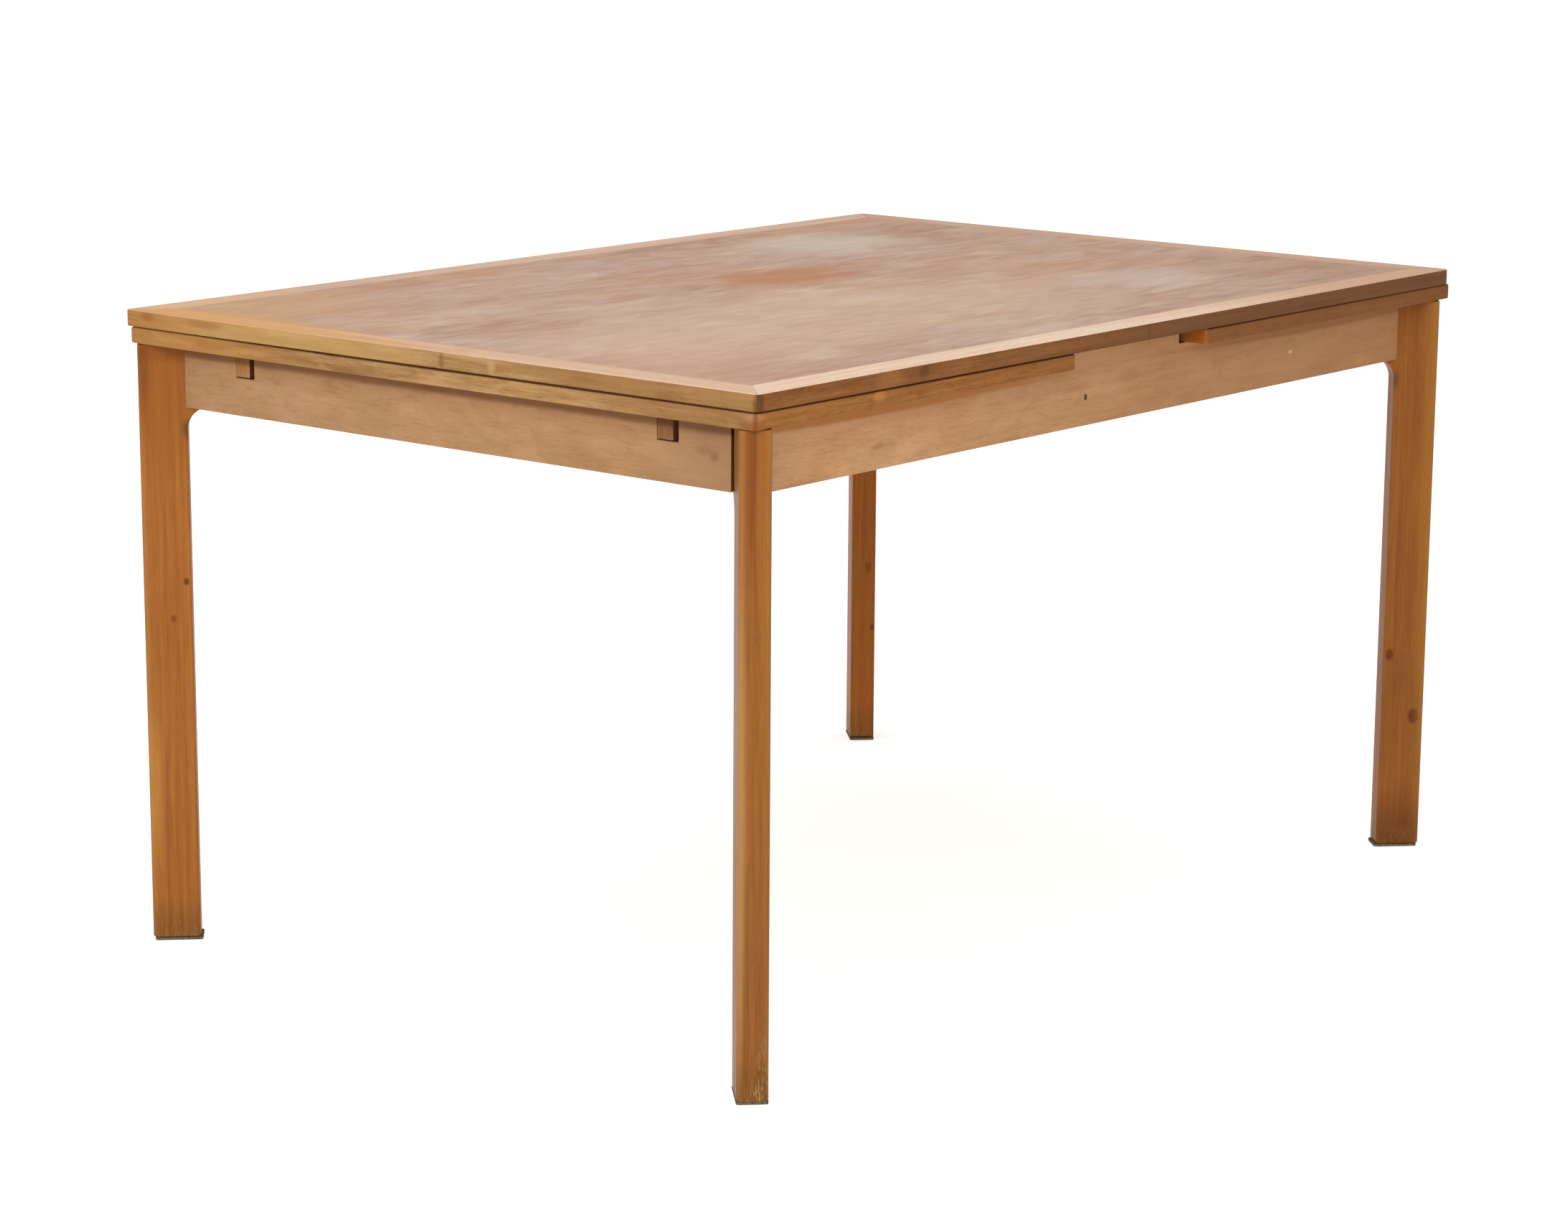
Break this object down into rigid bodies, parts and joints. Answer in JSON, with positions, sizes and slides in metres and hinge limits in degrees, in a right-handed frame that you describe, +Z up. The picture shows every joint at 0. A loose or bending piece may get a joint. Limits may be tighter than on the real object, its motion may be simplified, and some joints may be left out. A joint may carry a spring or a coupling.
{
  "type": "extending dining table",
  "caption": "Rectangular wooden dining table with legs set on the corner diagonals and a draw leaf stored under each end of a loose lipped top.",
  "frame": {"origin": "on the floor, under the middle of the closed top", "axes": "+X along the table's length towards the leaf that stands out a little, +Y across it towards the back, +Z up"},
  "size_m": [1.3085, 0.9, 0.714],
  "materials": {
    "leg_wood": "oiled orange-brown solid wood, semi-matt",
    "apron_wood": "faded straight-grained wood, matt",
    "top_veneer": "faded straight-grained veneer with old stains, worn satin",
    "top_lipping_wood": "pale solid wood lipping, worn satin",
    "leaf_veneer": "veneer kept from the light, satin",
    "leaf_lipping_wood": "solid wood lipping, satin",
    "bearer_wood": "bare planed hardwood",
    "frame_wood": "bare planed wood",
    "felt": "thin dark felt",
    "steel": "plain zinc-plated steel"
  },
  "bodies": {
    "frame": {"centre_board": "frame_wood", "cleat_back": "frame_wood", "cleat_front": "frame_wood", "corner_brace_back_left": "frame_wood", "corner_brace_back_right": "frame_wood", "corner_brace_front_left": "frame_wood", "corner_brace_front_right": "frame_wood", "end_apron_left": "apron_wood", "end_apron_right": "apron_wood", "leg_back_left": "leg_wood", "leg_back_right": "leg_wood", "leg_bolt_back_left": "steel", "leg_bolt_back_right": "steel", "leg_bolt_front_left": "steel", "leg_bolt_front_right": "steel", "leg_front_left": "leg_wood", "leg_front_right": "leg_wood", "leg_nut_back_left": "steel", "leg_nut_back_right": "steel", "leg_nut_front_left": "steel", "leg_nut_front_right": "steel", "leg_pad_back_left": "felt", "leg_pad_back_right": "felt", "leg_pad_front_left": "felt", "leg_pad_front_right": "felt", "long_apron_back": "apron_wood", "long_apron_front": "apron_wood", "middle_rail": "frame_wood", "screw_back_left": "steel", "screw_back_right": "steel", "screw_front_left": "steel", "screw_front_right": "steel"},
    "top": {"top_lipping_back": "top_lipping_wood", "top_lipping_front": "top_lipping_wood", "top_lipping_left": "top_lipping_wood", "top_lipping_right": "top_lipping_wood", "top_panel": "top_veneer", "top_peg_back": "bearer_wood", "top_peg_front": "bearer_wood"},
    "leaf_a": {"leaf_a_bearer_back": "bearer_wood", "leaf_a_bearer_front": "bearer_wood", "leaf_a_lipping_back": "leaf_lipping_wood", "leaf_a_lipping_front": "leaf_lipping_wood", "leaf_a_lipping_left": "leaf_lipping_wood", "leaf_a_lipping_right": "leaf_lipping_wood", "leaf_a_panel": "leaf_veneer", "leaf_a_stop_back": "frame_wood", "leaf_a_stop_front": "frame_wood"},
    "leaf_b": {"leaf_b_bearer_back": "bearer_wood", "leaf_b_bearer_front": "bearer_wood", "leaf_b_lipping_back": "leaf_lipping_wood", "leaf_b_lipping_front": "leaf_lipping_wood", "leaf_b_lipping_left": "leaf_lipping_wood", "leaf_b_lipping_right": "leaf_lipping_wood", "leaf_b_panel": "leaf_veneer", "leaf_b_stop_back": "frame_wood", "leaf_b_stop_front": "frame_wood"}
  },
  "joints": [
    {"name": "leaf_a_slide", "type": "slide", "parent": "frame", "child": "leaf_a", "axis": [-1, 0, 0], "range_m": [0, 0.529]},
    {"name": "leaf_b_slide", "type": "slide", "parent": "frame", "child": "leaf_b", "axis": [1, 0, 0], "range_m": [-0.0085, 0.5205]},
    {"name": "top_lift", "type": "slide", "parent": "frame", "child": "top", "axis": [0, 0, 1], "range_m": [0, 0.045]}
  ]
}
